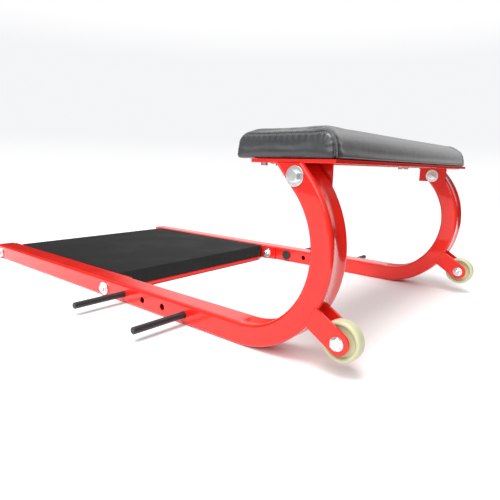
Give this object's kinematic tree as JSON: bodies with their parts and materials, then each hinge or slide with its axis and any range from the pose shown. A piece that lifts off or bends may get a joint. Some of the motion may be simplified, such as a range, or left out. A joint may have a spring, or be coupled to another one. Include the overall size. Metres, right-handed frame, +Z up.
{
  "type": "hip thrust bench",
  "caption": "Low padded bench on C-shaped box-tube arms with a foot platform, removable band pegs and tilt-to-roll wheels.",
  "frame": {"origin": "on the floor, under the middle of the whole object", "axes": "+X from the foot end to the bench, +Y across from the left side frame to the right, +Z up"},
  "size_m": [1.4912, 1.094, 0.441],
  "materials": {
    "red_powder_coat": "gloss powder coat",
    "grip_sheet": "grainy anti-slip",
    "black_vinyl": "satin upholstery vinyl",
    "plywood": "bare",
    "zinc_steel": "bright zinc plate",
    "roller_polyurethane": "cast polyurethane",
    "black_steel": "satin black",
    "black_plastic": "matte"
  },
  "bodies": {
    "frame": {"axle_sleeve_left": "zinc_steel", "axle_sleeve_right": "zinc_steel", "bolt_axle_left": "zinc_steel", "bolt_axle_right": "zinc_steel", "bolt_foot_left": "zinc_steel", "bolt_foot_right": "zinc_steel", "bolt_front_left": "zinc_steel", "bolt_front_right": "zinc_steel", "bolt_top_left": "zinc_steel", "bolt_top_right": "zinc_steel", "fork_plate_inner_left": "red_powder_coat", "fork_plate_inner_right": "red_powder_coat", "fork_plate_outer_left": "red_powder_coat", "fork_plate_outer_right": "red_powder_coat", "nut_axle_left": "zinc_steel", "nut_axle_right": "zinc_steel", "nut_foot_left": "zinc_steel", "nut_foot_right": "zinc_steel", "nut_front_left": "zinc_steel", "nut_front_right": "zinc_steel", "nut_top_left": "zinc_steel", "nut_top_right": "zinc_steel", "pad_board": "plywood", "pad_bolt_1_left": "zinc_steel", "pad_bolt_1_right": "zinc_steel", "pad_bolt_2_left": "zinc_steel", "pad_bolt_2_right": "zinc_steel", "pad_bracket_left": "red_powder_coat", "pad_bracket_right": "red_powder_coat", "pad_cushion": "black_vinyl", "pad_frame": "red_powder_coat", "platform_grip_sheet": "grip_sheet", "platform_side_plate_left": "red_powder_coat", "platform_side_plate_right": "red_powder_coat", "platform_tray": "red_powder_coat", "rail_end_plug_left": "black_plastic", "rail_end_plug_right": "black_plastic", "side_frame_left": "red_powder_coat", "side_frame_right": "red_powder_coat", "washer_inner_foot_left": "zinc_steel", "washer_inner_foot_right": "zinc_steel", "washer_inner_front_left": "zinc_steel", "washer_inner_front_right": "zinc_steel", "washer_inner_top_left": "zinc_steel", "washer_inner_top_right": "zinc_steel", "washer_outer_foot_left": "zinc_steel", "washer_outer_foot_right": "zinc_steel", "washer_outer_front_left": "zinc_steel", "washer_outer_front_right": "zinc_steel", "washer_outer_top_left": "zinc_steel", "washer_outer_top_right": "zinc_steel"},
    "band_peg_bench_left": {"band_peg_bench_left": "black_steel"},
    "band_peg_bench_right": {"band_peg_bench_right": "black_steel"},
    "band_peg_foot_left": {"band_peg_foot_left": "black_steel"},
    "band_peg_foot_right": {"band_peg_foot_right": "black_steel"},
    "wheel_left": {"wheel_left": "roller_polyurethane"},
    "wheel_right": {"wheel_right": "roller_polyurethane"}
  },
  "joints": [
    {"name": "wheel_spin_left", "type": "hinge", "parent": "frame", "child": "wheel_left", "pos_m": [0.70641, -0.3845, 0.06821], "axis": [0, 1, 0], "continuous": true},
    {"name": "wheel_spin_right", "type": "hinge", "parent": "frame", "child": "wheel_right", "pos_m": [0.70641, 0.3675, 0.06821], "axis": [0, 1, 0], "continuous": true},
    {"name": "peg_pull_foot_left", "type": "slide", "parent": "frame", "child": "band_peg_foot_left", "axis": [0, 1, 0], "range_m": [0, 0.205]},
    {"name": "peg_pull_bench_left", "type": "slide", "parent": "frame", "child": "band_peg_bench_left", "axis": [0, 1, 0], "range_m": [0, 0.205]},
    {"name": "peg_pull_foot_right", "type": "slide", "parent": "frame", "child": "band_peg_foot_right", "axis": [0, -1, 0], "range_m": [0, 0.205]},
    {"name": "peg_pull_bench_right", "type": "slide", "parent": "frame", "child": "band_peg_bench_right", "axis": [0, -1, 0], "range_m": [0, 0.205]}
  ]
}
